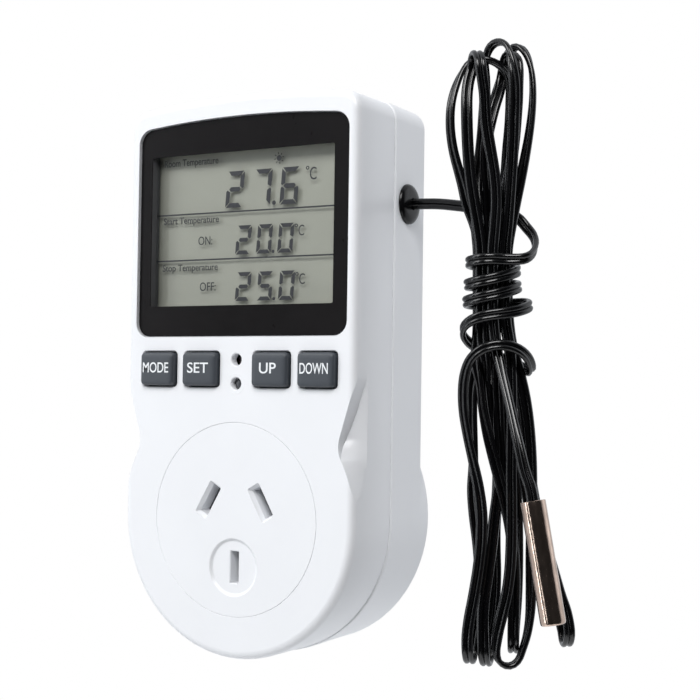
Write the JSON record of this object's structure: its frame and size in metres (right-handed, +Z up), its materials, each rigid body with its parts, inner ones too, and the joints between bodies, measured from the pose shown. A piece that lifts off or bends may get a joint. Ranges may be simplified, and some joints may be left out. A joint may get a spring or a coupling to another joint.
{
  "type": "plug in temperature controller",
  "caption": "Wall plug and switched socket in one white case with a three-row display, rubber keys and a metal probe on a thin cord folded in a hank.",
  "frame": {"origin": "centre of the plug pins' pattern on the rear plug face", "axes": "+Y out of the rear along the plug pins, front face towards -Y, +Z up, +X to the right seen from the front"},
  "size_m": [0.1047, 0.0554, 0.1306],
  "materials": {
    "case_white": "fine moulded texture",
    "screw_steel": "zinc plated",
    "window_clear": "gloss",
    "window_black": "printed gloss black",
    "display_grey": "liquid crystal glass",
    "light_guide": "clear",
    "frame_white": "moulded",
    "strip_rubber": "silicone strip",
    "board_green": "solder mask",
    "moulding_black": "moulded",
    "key_rubber": "silicone rubber",
    "carbon_black": "conductive",
    "led_red": "clear red",
    "plunger_grey": "moulded",
    "socket_white": "moulded",
    "nylon": "moulded",
    "shutter_grey": "moulded",
    "spring_steel": "drawn wire",
    "brass_spring": "stamped",
    "pin_brass": "stamped",
    "sleeve_black": "moulded",
    "wire_brown": "PVC",
    "wire_blue": "PVC",
    "relay_blue": "moulded",
    "coil_copper": "enamelled copper",
    "relay_steel": "nickel plated",
    "capacitor_yellow": "epoxy filled",
    "capacitor_dark": "sleeved",
    "varistor_blue": "epoxy dipped",
    "fuse_ceramic": "plain",
    "gland_black": "gloss",
    "cord_black": "gloss PVC",
    "probe_metal": "nickel plated",
    "potting_black": "epoxy",
    "bead_brown": "epoxy bead"
  },
  "bodies": {
    "case": {"front_shell": "case_white", "rear_shell": "case_white", "case_screws": "screw_steel", "display_window": "window_clear", "window_mask": "window_black", "lcd_panel": "display_grey", "lcd_light_guide": "light_guide", "lcd_holder": "frame_white", "lcd_connector": "strip_rubber", "control_board": "board_green", "control_board_screws": "screw_steel", "controller_chip": "moulding_black", "key_mat": "key_rubber", "indicator_led": "led_red", "reset_switch": "moulding_black", "socket_insert": "socket_white", "contact_carrier": "nylon", "shutter_spring": "spring_steel", "active_contact": "brass_spring", "neutral_contact": "brass_spring", "earth_contact": "brass_spring", "active_pin": "pin_brass", "neutral_pin": "pin_brass", "earth_pin": "pin_brass", "active_pin_sleeve": "sleeve_black", "neutral_pin_sleeve": "sleeve_black", "pin_clamp": "nylon", "active_in_wire": "wire_brown", "active_out_wire": "wire_brown", "neutral_wire": "wire_blue", "power_board": "board_green", "power_board_screws": "screw_steel", "relay_case": "relay_blue", "relay_coil": "coil_copper", "dropper_capacitor": "capacitor_yellow", "supply_capacitor": "capacitor_dark", "varistor": "varistor_blue", "fuse": "fuse_ceramic", "board_header": "moulding_black", "cord_gland": "gland_black", "sensor_connector": "frame_white", "sensor_lead_inner": "cord_black", "sensor_cord_lead": "cord_black", "sensor_cord_hank": "cord_black", "sensor_cord_tail": "cord_black", "probe_tube": "probe_metal", "probe_potting": "potting_black", "thermistor_bead": "bead_brown"},
    "mode_key": {"mode_key": "key_rubber", "mode_key_pill": "carbon_black"},
    "set_key": {"set_key": "key_rubber", "set_key_pill": "carbon_black"},
    "up_key": {"up_key": "key_rubber", "up_key_pill": "carbon_black"},
    "down_key": {"down_key": "key_rubber", "down_key_pill": "carbon_black"},
    "reset_plunger": {"reset_plunger": "plunger_grey"},
    "shutter": {"socket_shutter": "shutter_grey"},
    "armature": {"relay_armature": "relay_steel"}
  },
  "joints": [
    {"name": "mode_key_press", "type": "slide", "parent": "case", "child": "mode_key", "axis": [0, 1, 0], "range_m": [0, 0.001], "stiffness_N_per_m": 1500},
    {"name": "set_key_press", "type": "slide", "parent": "case", "child": "set_key", "axis": [0, 1, 0], "range_m": [0, 0.001], "stiffness_N_per_m": 1500},
    {"name": "up_key_press", "type": "slide", "parent": "case", "child": "up_key", "axis": [0, 1, 0], "range_m": [0, 0.001], "stiffness_N_per_m": 1500},
    {"name": "down_key_press", "type": "slide", "parent": "case", "child": "down_key", "axis": [0, 1, 0], "range_m": [0, 0.001], "stiffness_N_per_m": 1500},
    {"name": "reset_press", "type": "slide", "parent": "case", "child": "reset_plunger", "axis": [0, 1, 0], "range_m": [0, 0.0004], "stiffness_N_per_m": 2500},
    {"name": "shutter_slide", "type": "slide", "parent": "case", "child": "shutter", "axis": [1, 0, 0], "range_m": [0, 0.0032], "stiffness_N_per_m": 100, "deforming": ["shutter_spring"]},
    {"name": "armature_pull", "type": "hinge", "parent": "case", "child": "armature", "pos_m": [-0.0079, -0.0106, 0.0651], "axis": [0, 0, -1], "range_deg": [0, 5.5], "stiffness_Nm_per_rad": 0.002}
  ]
}
